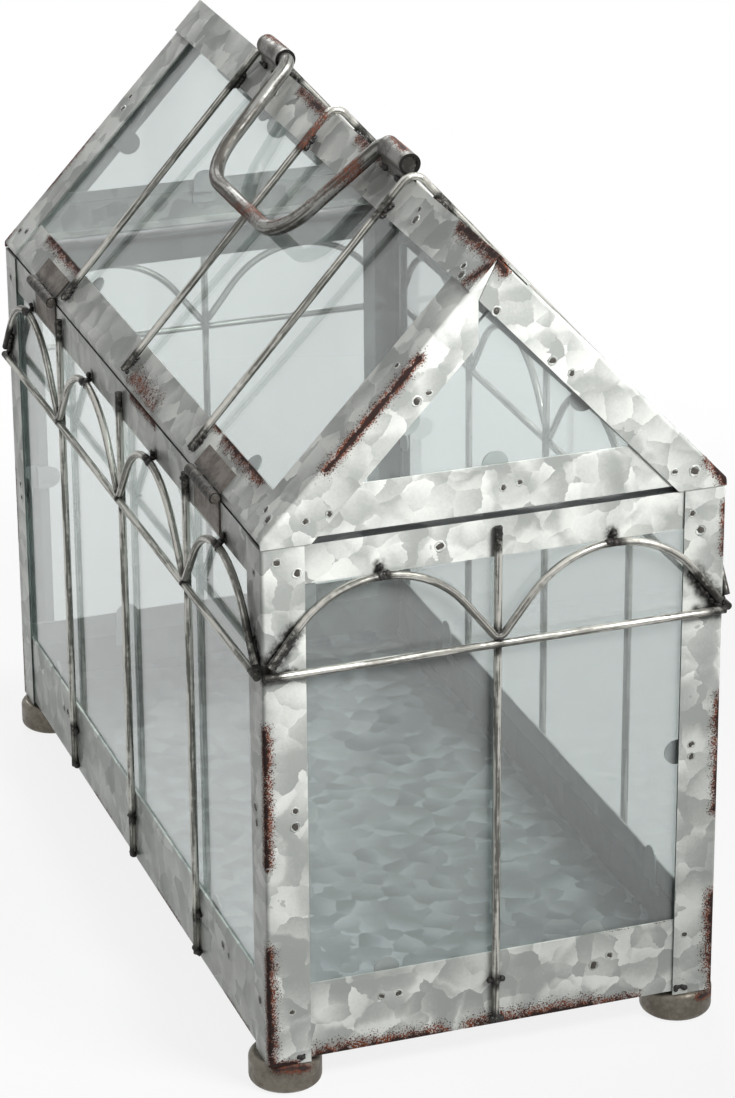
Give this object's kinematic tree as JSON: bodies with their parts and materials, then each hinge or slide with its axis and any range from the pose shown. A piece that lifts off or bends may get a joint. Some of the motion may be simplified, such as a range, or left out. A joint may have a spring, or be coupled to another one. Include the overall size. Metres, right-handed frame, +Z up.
{
  "type": "tabletop greenhouse terrarium",
  "caption": "House-shaped glass case of galvanised sheet strips with wire arch tracery, a pitched lid hinged along one eave and a bail handle on the ridge, for covering small plants on a table.",
  "frame": {"origin": "floor level under the middle of the case", "axes": "+Z up, front gable faces -Y, +Y along the ridge to the back, hinges on the -X side"},
  "size_m": [0.188, 0.3632, 0.332],
  "materials": {
    "galvanised": "hot-dip galvanised with large spangle and rust along the edges",
    "glass": "clear float glass, slightly green at the edges",
    "wire": "dull drawn steel wire, scorched at the welds",
    "hinge": "dull browned steel",
    "foot": "dull steel with rust",
    "handle": "dull steel with red rust",
    "floor": "dull galvanised sheet with spangle",
    "clip": "dull galvanised sheet"
  },
  "bodies": {
    "case": {"floor_pan": "floor", "bottom_rail_front": "galvanised", "bottom_rail_back": "galvanised", "bottom_rail_left": "galvanised", "bottom_rail_right": "galvanised", "top_rail_front": "galvanised", "top_rail_back": "galvanised", "top_rail_left": "galvanised", "top_rail_right": "galvanised", "post_front_left": "galvanised", "post_front_right": "galvanised", "post_back_left": "galvanised", "post_back_right": "galvanised", "pane_front": "glass", "pane_back": "glass", "pane_left": "glass", "pane_right": "glass", "tracery_front": "wire", "tracery_back": "wire", "tracery_left": "wire", "tracery_right": "wire", "feet": "foot", "wall_clips": "clip", "hinge_wall_leaves": "hinge", "hinge_pins": "hinge"},
    "lid": {"rake_front_left": "galvanised", "rake_front_right": "galvanised", "rake_back_left": "galvanised", "rake_back_right": "galvanised", "gable_rail_front": "galvanised", "gable_rail_back": "galvanised", "ridge_cap": "galvanised", "eave_rail_left": "galvanised", "eave_rail_right": "galvanised", "slope_pane_left": "glass", "slope_pane_right": "glass", "gable_pane_front": "glass", "gable_pane_back": "glass", "roof_wires": "wire", "lid_clips": "clip", "hinge_roof_leaves": "hinge", "handle_eyes": "handle"},
    "handle": {"handle": "handle"}
  },
  "joints": [
    {"name": "lid_hinge", "type": "hinge", "parent": "case", "child": "lid", "pos_m": [-0.0914, 0, 0.2237], "axis": [0, -1, 0], "range_deg": [0, 180]},
    {"name": "handle_swing", "type": "hinge", "parent": "lid", "child": "handle", "pos_m": [0, 0, 0.3277], "axis": [0, 1, 0], "range_deg": [0, 267]}
  ]
}
